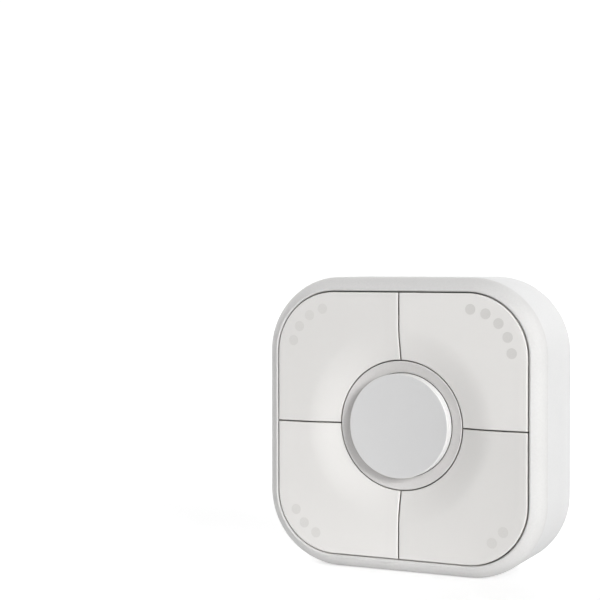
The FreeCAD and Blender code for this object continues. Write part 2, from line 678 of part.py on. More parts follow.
def make_centre_button():
    body = piece("centre_button")
    rim = "(button_radius - button_edge)"
    face = "-button_proud"
    hollow = f"({face} + button_dip + button_plate)"
    flange_front = f"({DECK_FRONT} + flange_gap)"
    flange_back = f"({flange_front} + flange_thickness)"
    inside = "(button_radius - button_wall)"
    turned(body, "Revolution", [
        ("0", f"{face} + button_dip"),
        ("button_floor", f"{face} + button_dip"),
        (rim, face),
        ("button_radius", f"{face} + button_edge"),
        ("button_radius", flange_front),
        (FLANGE_RADIUS, flange_front),
        (FLANGE_RADIUS, flange_back),
        (inside, flange_back),
        (inside, hollow),
        ("0", hollow),
    ])
    start = f"{hollow} - button_plate / 2"
    across = f"(2 * {inside} + button_wall)"
    pad(body, start, PLUNGER_TOP, lambda s: block(s, "0", "0", "button_post", "button_post"))
    pad(body, start, "ring_bore_depth", lambda s: block(s, "0", "0", across, "key_rib"))
    pad(body, start, "ring_bore_depth", lambda s: block(s, "0", "0", "key_rib", across))
    return body


# Electronics

def make_main_board():
    body = piece("main_board")
    pad(body, BOARD_FRONT, BOARD_BACK, lambda s: housing_outline(s, "housing_wall + board_gap"))
    pocket(body, BOARD_FRONT, BOARD_BACK, lambda s: at_screws(s, "screw_radius + screw_fit"))
    return body


def make_switch(name, x, z):
    base = piece(f"switch_base_{name}")
    pad(base, SWITCH_TOP, BOARD_FRONT, lambda s: block(s, x, z, "switch_side", "switch_side"))

    def leads(sketch):
        across = "(switch_side + 2 * lead_reach)"
        for side in (-1, 1):
            block(sketch, x, f"({z} + {side} * lead_pitch / 2)", across, "lead_width")

    pad(base, f"{BOARD_FRONT} - lead_thickness", BOARD_FRONT, leads)
    bore = "(plunger_side + 2 * plunger_fit)"
    pocket(base, SWITCH_TOP, f"{SWITCH_TOP} + {SWITCH_BORE}", lambda s: block(s, x, z, bore, bore))
    plunger = piece(f"switch_plunger_{name}")
    pad(plunger, PLUNGER_TOP, f"{SWITCH_TOP} + plunger_grip",
        lambda s: block(s, x, z, "plunger_side", "plunger_side"))
    return [base, plunger]


def make_switches():
    pieces = make_switch("centre", "0", "0")
    for name, side_x, side_z in QUARTERS:
        pieces += make_switch(name, f"({side_x} * {POST_PLACE})", f"({side_z} * {POST_PLACE})")
    return pieces


def make_radio():
    module = piece("radio_module")
    front = f"({BOARD_FRONT} - module_thickness)"
    pad(module, front, BOARD_FRONT,
        lambda s: block(s, "0", MODULE_PLACE, "module_width", "module_height"))
    shield = piece("radio_shield")
    top = f"({front} - shield_height)"
    low = f"({MODULE_PLACE} - module_height / 2 + shield_margin)"
    high = f"({MODULE_PLACE} + module_height / 2 - aerial_length)"

    def can(sketch, inset):
        side = f"(module_width / 2 - shield_margin - {inset})"
        rectangle(sketch, f"-{side}", f"{low} + {inset}", side, f"{high} - {inset}")

    pad(shield, top, front, lambda s: can(s, "0"))
    pocket(shield, f"{top} + shield_wall", front, lambda s: can(s, "shield_wall"))
    return [module, shield]


# Battery

def make_cell(name, side):
    body = piece(f"battery_cell_{name}")
    sketch = sketch_on(body, "XY_Plane", {"y": CELL_DEPTH, "z": f"{side} * {CELL_PLACE}"})
    shoulder = "(cell_length / 2 - terminal_height)"
    corners = [
        ("-cell_length / 2", "0"), ("cell_length / 2", "0"), ("cell_length / 2", "terminal_radius"),
        (shoulder, "terminal_radius"), (shoulder, "cell_radius"), ("-cell_length / 2", "cell_radius"),
    ]
    outline(sketch, [(f"{side} * ({x})", y) for x, y in corners])
    feature = body.newObject("PartDesign::Revolution", f"{body.Name}_revolution")
    feature.Profile = sketch
    feature.ReferenceAxis = (sketch, ["H_Axis"])
    feature.Angle = 360
    return body


def contact_section(side, foot):
    """Upright sheet on the bay's end wall with a tongue bent back towards the cell, as (x, depth)."""
    wall = BAY_HALF_LENGTH
    sheet_inside = f"({wall} - contact_sheet)"
    top = f"({BAY_BACK} + contact_height)"
    touch = "(cell_length / 2 + contact_touch)"
    tail = f"({BAY_BACK} + contact_tail)"
    corners = [
        (wall, foot), (wall, top), (sheet_inside, top), (touch, CELL_DEPTH),
        (f"({touch} + contact_flare)", tail), (f"({touch} + contact_flare + contact_sheet)", tail),
        (f"({touch} + contact_sheet)", CELL_DEPTH),
        (sheet_inside, f"({top} - contact_bend)"), (sheet_inside, foot),
    ]
    return [(f"{side} * {x}", depth) for x, depth in corners]


def contact_pad(body, section, middle, width):
    sketch = sketch_on(body, "XY_Plane", {"z": middle})
    outline(sketch, section)
    feature = body.newObject("PartDesign::Pad", f"{body.Name}_pad")
    feature.Profile = sketch
    feature.Midplane = True
    bind(feature, "Length", width)


def make_contacts():
    pieces = []
    for name, side in (("positive", 1), ("negative", -1)):
        body = piece(f"contact_{name}")
        contact_pad(body, contact_section(1, BOARD_BACK), f"{side} * {CELL_PLACE}", "contact_width")
        pieces.append(body)
    bridge = piece("contact_bridge")
    wall = f"-{BAY_HALF_LENGTH}"
    top = f"({BAY_BACK} + contact_height)"
    strip = [(wall, BAY_BACK), (wall, top), (f"{wall} + contact_sheet", top),
             (f"{wall} + contact_sheet", BAY_BACK)]
    contact_pad(bridge, strip, "0", CELL_PITCH)
    for side in (-1, 1):
        contact_pad(bridge, contact_section(-1, BAY_BACK), f"{side} * {CELL_PLACE}", "contact_width")
    pieces.append(bridge)
    return pieces


# Fasteners and magnets

def make_screws():
    screws = []
    for name, side_x, side_z in QUARTERS:
        x = f"{side_x} * {SCREW_PLACE}"
        z = f"{side_z} * {SCREW_PLACE}"
        head = solid_cylinder(f"head_{name}", "screw_head", "screw_head_height", x,
                              f"{DECK_FRONT} - screw_head_height", z)
        shank = solid_cylinder(f"shank_{name}", "screw_radius", "screw_length + screw_head_height / 2", x,
                               f"{DECK_FRONT} - screw_head_height / 2", z)
        screw = doc.addObject("Part::Fuse", f"screw_{name}")
        screw.Base = head
        screw.Tool = shank
        screws.append(screw)
    return group("deck_screws", screws)


def make_bars(label, height, depth):
    bars = []
    for name, side_x, side_z in QUARTERS:
        bar = doc.addObject("Part::Box", f"{label}_{name}")
        bind(bar, "Length", "magnet_length")
        bind(bar, "Width", height)
        bind(bar, "Height", "magnet_width")
        bind(bar, "Placement.Base.x", f"{side_x} * magnet_across - magnet_length / 2")
        bind(bar, "Placement.Base.y", f"{KEY_SURFACE_Y} + {depth}")
        bind(bar, "Placement.Base.z", f"{HALF} + {side_z} * {MAGNET_PLACE} - magnet_width / 2")
        bars.append(bar)
    return group(label, bars)


pieces = [make_front_bezel(), make_rear_shell(), make_wall_plate(), make_key_deck()]
pieces += [make_key(name, side_x, side_z) for name, side_x, side_z in QUARTERS]
pieces += [make_centre_ring(), make_centre_button(), make_main_board()]
pieces += make_switches()
pieces += make_radio()
pieces += [make_cell("upper", 1), make_cell("lower", -1)]
pieces += make_contacts()
pieces.append(make_screws())
pieces.append(make_bars("magnets", "magnet_height", f"{BACK_WALL_BACK} - magnet_height"))
pieces.append(make_bars("steel_keepers", "keeper_height", PLATE_FRONT))

doc.recompute()
for thing in doc.Objects:
    if "Invalid" in thing.State or "Error" in thing.State:
        raise RuntimeError(f"{thing.Label} failed: {thing.State}")
for item in pieces:
    if item.Shape.isNull() or not item.Shape.isValid() or not item.Shape.Solids:
        raise RuntimeError(f"{item.Label} is no sound solid")

os.makedirs("parts", exist_ok=True)
for item in pieces:
    item.Shape.exportStep(f"parts/{item.Label}.step")
    print(item.Label, len(item.Shape.Solids), round(item.Shape.Volume, 2))
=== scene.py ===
import math
from collections import namedtuple

import bmesh
import bpy
from mathutils import Euler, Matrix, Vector


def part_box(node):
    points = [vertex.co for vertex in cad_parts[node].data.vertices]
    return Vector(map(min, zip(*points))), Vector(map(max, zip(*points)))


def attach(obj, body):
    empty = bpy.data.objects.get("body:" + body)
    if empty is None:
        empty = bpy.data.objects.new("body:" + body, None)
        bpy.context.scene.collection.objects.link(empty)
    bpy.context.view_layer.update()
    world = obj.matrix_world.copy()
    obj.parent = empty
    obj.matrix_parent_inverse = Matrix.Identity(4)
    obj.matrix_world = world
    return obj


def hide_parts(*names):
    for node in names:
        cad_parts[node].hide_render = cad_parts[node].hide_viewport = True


# Looks of a wall scene controller: a square housing with four dished key caps around a ring and a
# round button. Lengths are in millimetres here and are turned into metres as a mesh is made. Angles
# are in degrees. Places are x to the right, z up and depth into the object, from the middle of the
# flat key surface.

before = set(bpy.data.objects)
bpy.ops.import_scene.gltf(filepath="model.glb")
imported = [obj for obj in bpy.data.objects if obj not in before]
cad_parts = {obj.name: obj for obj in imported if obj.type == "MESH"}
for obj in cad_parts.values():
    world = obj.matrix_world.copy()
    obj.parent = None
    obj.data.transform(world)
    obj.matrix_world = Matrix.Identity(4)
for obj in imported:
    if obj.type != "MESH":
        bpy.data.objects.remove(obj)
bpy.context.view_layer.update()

MM = 0.001
shell_low, shell_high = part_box("rear_shell")
button_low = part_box("centre_button")[0]
bezel_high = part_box("front_bezel")[1]

BUTTON_PROUD = 0.2  # the button's rim in front of the keys
HALF = (shell_high.x - shell_low.x) / 2 / MM
KEY_Y = button_low.y / MM + BUTTON_PROUD
MIDDLE_Z = (shell_high.z + shell_low.z) / 2 / MM
SEAM = shell_low.y / MM - KEY_Y
FRAME_BACK = bezel_high.y / MM - KEY_Y

# Front frame
CORNER = 20.75
CORNER_STEPS = 32
FRONT_EDGE = 5.2  # radius of the quarter-round front
EDGE_STEPS = 28
WINDOW_INSET = 3.72
LEDGE = 1.8
LEDGE_FRONT = FRAME_BACK - 1.0
TONGUE = 2.1
FRAME_ROUND = 0.45  # rounding of the window's edge
FRAME_ROUND_START = -75
FRAME_ROUND_STEPS = 5
SEAM_ROUND = 0.14
SEAM_ROUND_REACH = 1.2 * SEAM_ROUND
SEAM_ROUND_END = 160
SEAM_ROUND_STEPS = 4

# Keys
KEY_GAP = 0.36
KEY_ROUND = 0.3
KEY_ROUND_STEPS = 6
KEY_WALL = 1.8
SKIRT = 3.8
SKIRT_WALL = 1.2
SKIRT_ROUND = 0.2
DISH_DEPTH = 1.75
DISH_CONE = 19.5
DISH_START = 27.1
DISH_CURVE = 2.2
GRID_COLUMNS = 96
GRID_STEP = 0.42
GRID_RINGS = 26
GRID_OUTER = 9
POST_PLACE = 20.5
POST_SIDE = 5.0
RIB = 1.0
RIB_BACK = 2.5
LEG_REACH = HALF - 9.0
LEG_OFFSET = 11.0
LEG_WIDTH = 4.0
LEG_HALF = 0.8  # half of a leg's thickness
LEG_TIP = 1.4  # length of the tip behind the deck
BARB = 1.4

# Deck and plungers behind the keys
DECK_FRONT = 4.5
DECK_BACK = 6.0
DECK_GAP = 0.1
PLUNGER_TOP = 6.2

# Ring
RING_BORE = 14.24
RING_OUTSIDE = 17.45
RING_GAP = 0.3
RING_BORE_DEPTH = 3.2
RING_ROUND = 0.16
RING_INNER_DROP = 0.7 * RING_ROUND
RING_OUTER_DROP = 1.3 * RING_ROUND
RING_INNER_STEPS = 5
RING_OUTER_STEPS = 6
PEG_INSET = 0.9
PEG_SIDE = 1.1
PEG_ROOT = 0.7

# Button
BUTTON = 14.1
BUTTON_DIP = 0.45
BUTTON_ROUND = 0.16
BUTTON_ROUND_STEPS = 10
BUTTON_RINGS = 25
BUTTON_WALL = 1.2
BUTTON_PLATE = 1.3
BUTTON_POST = 4.0
FLANGE = 0.9
FLANGE_FRONT = DECK_FRONT + DECK_GAP
FLANGE_BACK = FLANGE_FRONT + 1.0

# Count dots
DOT_RADIUS = 1.42
DOT_SIDES = 48
DOT_ARC = 12.5
DOT_STEP = 20
DOT_PROUD = 0.012
DOT_DEEP = 0.3

# Where the painted shade on the walls of the gaps starts, and how a wall is told from a face
FRAME_SHADE_START = 0.75
KEY_SHADE_START = 0.5
BUTTON_SHADE_START = RING_BORE_DEPTH - 0.15
WALL_SLOPE = 0.1
NEARBY = 0.1
FACES_IN = 0.6
FACES_OUT = -0.5
FACES_UP = 0.8

HOLE = RING_OUTSIDE + RING_GAP
WINDOW = HALF - WINDOW_INSET
KEY_HALF = WINDOW - KEY_GAP
KEY_CORNER = CORNER - WINDOW_INSET - KEY_GAP
FULL_TURN = 2 * math.pi
TURN_STEPS = 192
SHARP_ANGLE = 40.0

QUARTERS = {"upper_left": (-1, 1), "upper_right": (1, 1), "lower_left": (-1, -1), "lower_right": (1, -1)}
DOTS = {"upper_left": 4, "upper_right": 5, "lower_left": 3, "lower_right": 2}


# Meshes

def spot(x, depth, z):
    """Place in metres, in the row frame."""
    return Vector((x, depth + KEY_Y, z + MIDDLE_Z)) * MM


def object_from(name, mesh, body, finish):
    """Piece of a finished mesh that rides on a body."""
    bmesh.ops.recalc_face_normals(mesh, faces=mesh.faces)
    data = bpy.data.meshes.new(name)
    mesh.to_mesh(data)
    mesh.free()
    data.shade_smooth()
    data.set_sharp_from_angle(angle=math.radians(SHARP_ANGLE))
    piece = bpy.data.objects.new(name, data)
    bpy.context.scene.collection.objects.link(piece)
    data.materials.append(finish)
    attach(piece, body)
    return piece


def skin(mesh, rings, closed=True):
    """Quads between rings of equally many places. Closed rings of a closed section make a torus."""
    rows = [[mesh.verts.new(spot(*place)) for place in ring] for ring in rings]
    pairs = list(zip(rows, rows[1:] + rows[:1])) if closed else list(zip(rows, rows[1:]))
    for near, far in pairs:
        for i in range(len(near)):
            j = (i + 1) % len(near)
            mesh.faces.new((near[i], near[j], far[j], far[i]))
    return rows


def lathe(mesh, profile):
    """Closed profile of (radius, depth) turned about the middle. A radius of 0 makes one point."""
    rows = []
    angles = [FULL_TURN * i / TURN_STEPS for i in range(TURN_STEPS)]
    for radius, depth in profile:
        if radius == 0:
            rows.append([mesh.verts.new(spot(0, depth, 0))])
            continue
        places = [(radius * math.cos(a), depth, radius * math.sin(a)) for a in angles]
        rows.append([mesh.verts.new(spot(*place)) for place in places])
    for near, far in zip(rows, rows[1:] + rows[:1]):
        if len(near) == 1 and len(far) == 1:
            continue
        for i in range(TURN_STEPS):
            j = (i + 1) % TURN_STEPS
            corners = [near[i % len(near)], near[j % len(near)], far[j % len(far)], far[i % len(far)]]
            unique = [v for n, v in enumerate(corners) if v not in corners[:n]]
            mesh.faces.new(unique)


def bar(mesh, x, z, width, height, front, back):
    """Box about (x, z), from one depth to another."""
    signs = ((-1, -1), (1, -1), (1, 1), (-1, 1))
    corners = [(x + sx * width / 2, z + sz * height / 2) for sx, sz in signs]
    prism(mesh, [(cx, front, cz) for cx, cz in corners], [(cx, back, cz) for cx, cz in corners])


def prism(mesh, first, second):
    """Closed solid between two outlines with equally many corners."""
    rows = skin(mesh, [first, second], closed=False)
    for row in rows:
        mesh.faces.new(row)


def arc(centre, radius, start, end, steps):
    """Points on an arc, angles in degrees from the first axis to the second."""
    angles = [math.radians(start + (end - start) * i / steps) for i in range(steps + 1)]
    return [(centre[0] + radius * math.cos(a), centre[1] + radius * math.sin(a)) for a in angles]


def housing_ring(inset, depth):
    """The housing's outline drawn in by an inset, at one depth."""
    radius = CORNER - inset
    flat = HALF - CORNER
    ring = []
    for number, (x, z) in enumerate(((1, 1), (-1, 1), (-1, -1), (1, -1))):
        ring += arc((x * flat, z * flat), radius, 90 * number, 90 * number + 90, CORNER_STEPS)
    return [(x, depth, z) for x, z in ring]


def dish(radius):
    """Depth of the keys' surface: flat outside, curving into an even slope that falls to the hole."""
    reach = DISH_START - DISH_CONE
    share = min(1.0, max(0.0, (radius - DISH_CONE) / reach))
    power = DISH_CURVE + 1
    curve = reach * (1 - share - (1 - share ** power) / power)
    slope = DISH_DEPTH / (reach * (1 - 1 / power) + DISH_CONE - HOLE)
    return slope * (curve + max(0.0, DISH_CONE - radius))


class KeyGrid:
    """Grid over one quarter of the keys, in rows from the dish's hole to the window's edge."""

    KNOTS = [HOLE + GRID_STEP * i for i in range(1, GRID_RINGS + 1)]

    def __init__(self, base_inset):
        self.shares = self.measure(base_inset)

    @staticmethod
    def ends(inset):
        """Places on the dish's hole and on the window's edge that the columns join."""
        gap = KEY_GAP / 2 + inset
        far = KEY_HALF - inset
        corner = KEY_CORNER - inset
        hole = HOLE + inset
        flat = far - corner
        straight = flat - gap
        bend = corner * math.pi / 2
        whole = 2 * straight + bend
        outer = []
        for i in range(GRID_COLUMNS + 1):
            run = whole * i / GRID_COLUMNS
            if run <= straight:
                outer.append((far, gap + run))
            elif run < straight + bend:
                angle = (run - straight) / corner
                outer.append((flat + corner * math.cos(angle), flat + corner * math.sin(angle)))
            else:
                outer.append((flat - (run - straight - bend), far))
        low = math.asin(gap / hole)
        high = math.pi / 2 - low
        first = math.atan2(outer[0][1], outer[0][0])
        last = math.atan2(outer[-1][1], outer[-1][0])
        inner = []
        for x, z in outer:
            angle = low + (high - low) * (math.atan2(z, x) - first) / (last - first)
            inner.append((hole * math.cos(angle), hole * math.sin(angle)))
        return inner, outer

    def measure(self, inset):
        """Shares of each column at which it crosses the rings, and even shares outside them."""
        inner, outer = self.ends(inset)
        shares = []
        for (ax, az), (bx, bz) in zip(inner, outer):
            dx, dz = bx - ax, bz - az
            column = [0.0]
            for knot in self.KNOTS:
                a = dx * dx + dz * dz
                b = 2 * (ax * dx + az * dz)
                c = ax * ax + az * az - knot * knot
                column.append((-b + math.sqrt(b * b - 4 * a * c)) / (2 * a))
            rest = 1 - column[-1]
            start = column[-1]
            column += [start + rest * (i + 1) / GRID_OUTER for i in range(GRID_OUTER)]
            shares.append(column)
        return shares

    def places(self, inset):
        """Rows of (x, z) from the hole outwards."""
        inner, outer = self.ends(inset)
        return [[(a[0] + (b[0] - a[0]) * share, a[1] + (b[1] - a[1]) * share)
                 for a, b, share in zip(inner, outer, row)] for row in zip(*self.shares)]

    @staticmethod
    def border(rows):
        """The places round the grid's edge, in order."""
        return (rows[0][:-1] + [row[-1] for row in rows[:-1]]
                + rows[-1][:0:-1] + [row[0] for row in rows[:0:-1]])


def key_mesh(side_x, side_z):
    """Cap with a rounded edge, skirt and hollow, with its post, ribs and snap legs."""
    mesh = bmesh.new()
    grid = KeyGrid(KEY_ROUND)

    def placed(point, extra):
        x, z = point
        return side_x * x, dish(math.hypot(x, z)) + extra, side_z * z

    def at(point, depth):
        return side_x * point[0], depth, side_z * point[1]

    def sheet_of(inset, extra):
        rows = [[mesh.verts.new(spot(*placed(p, extra))) for p in row] for row in grid.places(inset)]
        for near, far in zip(rows, rows[1:]):
            for i in range(len(near) - 1):
                mesh.faces.new((near[i], near[i + 1], far[i + 1], far[i]))
        return KeyGrid.border(rows)

    loops = [sheet_of(KEY_ROUND, 0)]
    for step in range(KEY_ROUND_STEPS - 1, -1, -1):
        angle = math.radians(90 * step / KEY_ROUND_STEPS)
        inset = KEY_ROUND * (1 - math.cos(angle))
        extra = KEY_ROUND * (1 - math.sin(angle))
        border = KeyGrid.border(grid.places(inset))
        loops.append([mesh.verts.new(spot(*placed(p, extra))) for p in border])
    for inset, depth in ((0, SKIRT - SKIRT_ROUND), (SKIRT_ROUND, SKIRT), (SKIRT_WALL, SKIRT)):
        border = KeyGrid.border(grid.places(inset))
        loops.append([mesh.verts.new(spot(*at(p, depth))) for p in border])
    loops.append(sheet_of(SKIRT_WALL, KEY_WALL))
    for near, far in zip(loops, loops[1:]):
        for i in range(len(near)):
            j = (i + 1) % len(near)
            mesh.faces.new((near[i], near[j], far[j], far[i]))
    inside = KEY_WALL / 2 + DISH_DEPTH / 4
    bar(mesh, side_x * POST_PLACE, side_z * POST_PLACE, POST_SIDE, POST_SIDE, inside, PLUNGER_TOP)
    near = KEY_GAP / 2 + SKIRT_WALL / 2
    far = KEY_HALF - SKIRT_WALL / 2
    middle = (near + far) / 2
    bar(mesh, side_x * middle, side_z * POST_PLACE, far - near, RIB, inside, RIB_BACK)
    bar(mesh, side_x * POST_PLACE, side_z * middle, RIB, far - near, inside, RIB_BACK)
    catch = DECK_BACK + DECK_GAP
    tip = catch + LEG_TIP
    leg = [(-LEG_HALF, KEY_WALL / 2), (-LEG_HALF, tip), (LEG_HALF, tip), (BARB, catch),
           (LEG_HALF, catch), (LEG_HALF, KEY_WALL / 2)]
    for upright in (False, True):
        sections = []
        for offset in (LEG_OFFSET - LEG_WIDTH / 2, LEG_OFFSET + LEG_WIDTH / 2):
            section = [(LEG_REACH + reach, depth) for reach, depth in leg]
            if upright:
                sections.append([(side_x * offset, depth, side_z * reach) for reach, depth in section])
            else:
                sections.append([(side_x * reach, depth, side_z * offset) for reach, depth in section])
        prism(mesh, *sections)
    return mesh


def bezel_mesh():
    """Front frame: a quarter-round front edge, the window's wall, the ledge behind it and the tongue."""
    mesh = bmesh.new()
    start = math.degrees(math.asin(SEAM_ROUND / FRONT_EDGE))
    crest = FRONT_EDGE - WINDOW_INSET + FRAME_ROUND
    stop = 90 - math.degrees(math.asin(crest / FRONT_EDGE))
    section = arc((FRONT_EDGE, SEAM), FRONT_EDGE, 180 + start, 180 + stop, EDGE_STEPS)
    rounding = (WINDOW_INSET - FRAME_ROUND, section[-1][1] + FRAME_ROUND)
    section += arc(rounding, FRAME_ROUND, FRAME_ROUND_START, 0, FRAME_ROUND_STEPS)
    section += [(WINDOW_INSET, FRAME_SHADE_START), (WINDOW_INSET, LEDGE_FRONT),
                (WINDOW_INSET + LEDGE, LEDGE_FRONT), (WINDOW_INSET + LEDGE, FRAME_BACK),
                (TONGUE, FRAME_BACK), (TONGUE, SEAM)]
    rounding = (SEAM_ROUND_REACH, SEAM - SEAM_ROUND)
    section += arc(rounding, SEAM_ROUND, 90, SEAM_ROUND_END, SEAM_ROUND_STEPS)
    skin(mesh, [housing_ring(inset, depth) for inset, depth in section])
    return mesh


def ring_mesh():
    """Fixed ring whose face falls towards the button, with the pegs that sit in the deck."""
    mesh = bmesh.new()
    tilt = math.degrees(math.atan2(RING_BORE_DEPTH - DISH_DEPTH, RING_OUTSIDE - RING_BORE))
    inner = (RING_BORE + RING_ROUND, RING_BORE_DEPTH + RING_INNER_DROP)
    outer = (RING_OUTSIDE - RING_ROUND, DISH_DEPTH + RING_OUTER_DROP)
    profile = arc(inner, RING_ROUND, 180, 270 - tilt, RING_INNER_STEPS)
    profile += arc(outer, RING_ROUND, 270 - tilt, 360, RING_OUTER_STEPS)
    profile += [(RING_OUTSIDE, DECK_FRONT), (RING_BORE, DECK_FRONT)]
    lathe(mesh, profile)
    place = (RING_OUTSIDE - PEG_INSET) / math.sqrt(2)
    for side_x, side_z in QUARTERS.values():
        bar(mesh, side_x * place, side_z * place, PEG_SIDE, PEG_SIDE, DECK_FRONT - PEG_ROOT, DECK_BACK)
    return mesh


def button_mesh():
    """Round button with a hollow face and a rounded rim, its flange, post and cross ribs."""
    mesh = bmesh.new()
    face = -BUTTON_PROUD
    rim = BUTTON - BUTTON_ROUND
    lean = math.degrees(math.atan(2 * BUTTON_DIP / rim))
    profile = [(0, face + BUTTON_DIP)]
    for i in range(1, BUTTON_RINGS):
        radius = rim * i / BUTTON_RINGS
        profile.append((radius, face + BUTTON_DIP * (1 - (radius / rim) ** 2)))
    profile += arc((rim, face + BUTTON_ROUND), BUTTON_ROUND, 270 - lean, 360, BUTTON_ROUND_STEPS)
    inside = BUTTON - BUTTON_WALL
    hollow = face + BUTTON_DIP + BUTTON_PLATE
    profile += [(BUTTON, BUTTON_SHADE_START), (BUTTON, FLANGE_FRONT), (BUTTON + FLANGE, FLANGE_FRONT),
                (BUTTON + FLANGE, FLANGE_BACK), (inside, FLANGE_BACK), (inside, hollow), (0, hollow)]
    lathe(mesh, profile)
    start = hollow - BUTTON_PLATE / 2
    across = 2 * inside + BUTTON_WALL
    bar(mesh, 0, 0, BUTTON_POST, BUTTON_POST, start, PLUNGER_TOP)
    bar(mesh, 0, 0, across, RIB, start, RING_BORE_DEPTH)
    bar(mesh, 0, 0, RIB, across, start, RING_BORE_DEPTH)
    return mesh


def dots_mesh(side_x, side_z, count):
    """Flush round count dots on an arc about the centre of the key's rounded corner."""
    mesh = bmesh.new()
    centre = HALF - CORNER
    for number in range(count):
        angle = math.radians(45 + DOT_STEP * (number - (count - 1) / 2))
        cx = side_x * (centre + DOT_ARC * math.cos(angle))
        cz = side_z * (centre + DOT_ARC * math.sin(angle))
        circle = arc((0, 0), DOT_RADIUS, 0, 360 - 360 / DOT_SIDES, DOT_SIDES - 1)
        front = [(cx + x, -DOT_PROUD, cz + z) for x, z in circle]
        back = [(x, DOT_DEEP, z) for x, _, z in front]
        prism(mesh, front, back)
    return mesh


# Materials

BROAD_SIZE = 14.0  # of the soft variation over a piece
BROAD_DETAIL = 2.0
FINE_DETAIL = 5.0
NOISE_LOW = 0.3
NOISE_HIGH = 0.7
ROUGHNESS_SPREAD = 0.04


def material(name, colour, roughness, grain=0.0, grain_size=0.4, mottle=0.03, metallic=0.0):
    """Moulded or metal finish: a colour that varies softly, a varying roughness and a fine grain.

    Grain is the height of the fine bumps, grain_size how far they are apart and mottle how much the
    colour varies.
    """
    finish = bpy.data.materials.new(name)
    finish.use_nodes = True
    tree = finish.node_tree
    shader = tree.nodes["Principled BSDF"]
    shader.inputs["Metallic"].default_value = metallic
    place = tree.nodes.new("ShaderNodeTexCoord")

    def noise(size, detail):
        node = tree.nodes.new("ShaderNodeTexNoise")
        node.inputs["Scale"].default_value = 1 / (size * MM)
        node.inputs["Detail"].default_value = detail
        tree.links.new(place.outputs["Object"], node.inputs["Vector"])
        return node.outputs["Fac"]

    def ramp(source, low, high):
        node = tree.nodes.new("ShaderNodeMapRange")
        node.inputs["From Min"].default_value = NOISE_LOW
        node.inputs["From Max"].default_value = NOISE_HIGH
        node.inputs["To Min"].default_value = low
        node.inputs["To Max"].default_value = high
        tree.links.new(source, node.inputs["Value"])
        return node.outputs["Result"]

    def mix(source, first, second):
        node = tree.nodes.new("ShaderNodeMix")
        node.data_type = "RGBA"
        tree.links.new(source, node.inputs["Factor"])
        node.inputs["A"].default_value = first + (1.0,)
        node.inputs["B"].default_value = second + (1.0,)
        return node.outputs["Result"]

    broad = noise(BROAD_SIZE, BROAD_DETAIL)
    fine = noise(grain_size, FINE_DETAIL)
    dark = tuple(c * (1 - mottle) for c in colour)
    darker = tuple(c * (1 - 2 * mottle) for c in colour)
    light = tuple(min(1.0, c * (1 + mottle)) for c in colour)
    shade = mix(ramp(broad, 0.0, 1.0), dark, light)
    if grain:
        speck = mix(ramp(fine, 0.0, 1.0), darker, light)
        both = tree.nodes.new("ShaderNodeMix")
        both.data_type = "RGBA"
        both.inputs["Factor"].default_value = 0.5
        tree.links.new(shade, both.inputs["A"])
        tree.links.new(speck, both.inputs["B"])
        shade = both.outputs["Result"]
    tree.links.new(shade, shader.inputs["Base Color"])
    sheen = ramp(broad, roughness - ROUGHNESS_SPREAD, roughness + ROUGHNESS_SPREAD)
    tree.links.new(sheen, shader.inputs["Roughness"])
    if grain:
        bump = tree.nodes.new("ShaderNodeBump")
        bump.inputs["Strength"].default_value = 1.0
        bump.inputs["Distance"].default_value = grain * MM
        tree.links.new(fine, bump.inputs["Height"])
        tree.links.new(bump.outputs["Normal"], shader.inputs["Normal"])
    return finish


